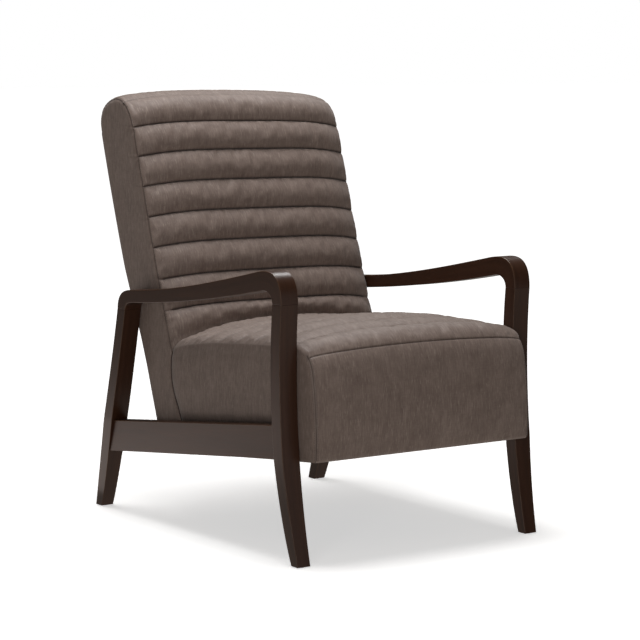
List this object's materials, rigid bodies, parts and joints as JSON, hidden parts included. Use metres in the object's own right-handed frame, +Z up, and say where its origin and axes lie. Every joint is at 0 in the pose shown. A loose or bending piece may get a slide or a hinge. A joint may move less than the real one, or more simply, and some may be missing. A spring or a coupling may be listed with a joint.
{
  "type": "accent_chair",
  "caption": "Upholstered lounge chair with a leaning back and a deep seat in sewn horizontal channels, carried between two open bent wooden arm frames with curved tapering legs",
  "frame": {"origin": "centre of the overall box at floor level", "axes": "+X to the right as seen from the front of the chair, +Y to its rear, +Z up"},
  "size_m": [0.66, 0.89, 0.9692],
  "materials": {
    "dark_wood": "espresso stain under satin lacquer",
    "taupe_leather": "matt faux leather, fine vertical streaks",
    "beech_wood": "planed, unfinished",
    "zinc_steel": "zinc plated",
    "cushion_foam": "open-cell foam",
    "grey_felt": "needled felt",
    "black_cloth": "woven and non-woven cloth",
    "black_plastic": "moulded",
    "yellow_brass": "turned, plain"
  },
  "bodies": {
    "root": {"left_arm": "dark_wood", "right_arm": "dark_wood", "left_front_leg": "dark_wood", "right_front_leg": "dark_wood", "left_rear_leg": "dark_wood", "right_rear_leg": "dark_wood", "left_side_rail": "dark_wood", "right_side_rail": "dark_wood", "arm_dowels": "beech_wood", "rail_dowels": "beech_wood", "foot_glides": "black_plastic", "seat_left_board": "beech_wood", "seat_right_board": "beech_wood", "seat_front_board": "beech_wood", "seat_rear_board": "beech_wood", "corner_blocks": "beech_wood", "seat_board_dowels": "beech_wood", "seat_springs": "zinc_steel", "spring_clips": "zinc_steel", "deck_pad": "grey_felt", "seat_foam": "cushion_foam", "seat_cover": "taupe_leather", "back_left_post": "beech_wood", "back_right_post": "beech_wood", "back_top_rail": "beech_wood", "back_middle_rail": "beech_wood", "back_bottom_rail": "beech_wood", "back_rail_dowels": "beech_wood", "post_bolts": "zinc_steel", "back_webbing": "black_cloth", "back_foam": "cushion_foam", "back_cover": "taupe_leather", "outside_back_panel": "taupe_leather", "dust_cover": "black_cloth", "frame_bolts": "zinc_steel", "bolt_washers": "zinc_steel", "frame_spacers": "beech_wood", "threaded_inserts": "yellow_brass"}
  },
  "joints": []
}
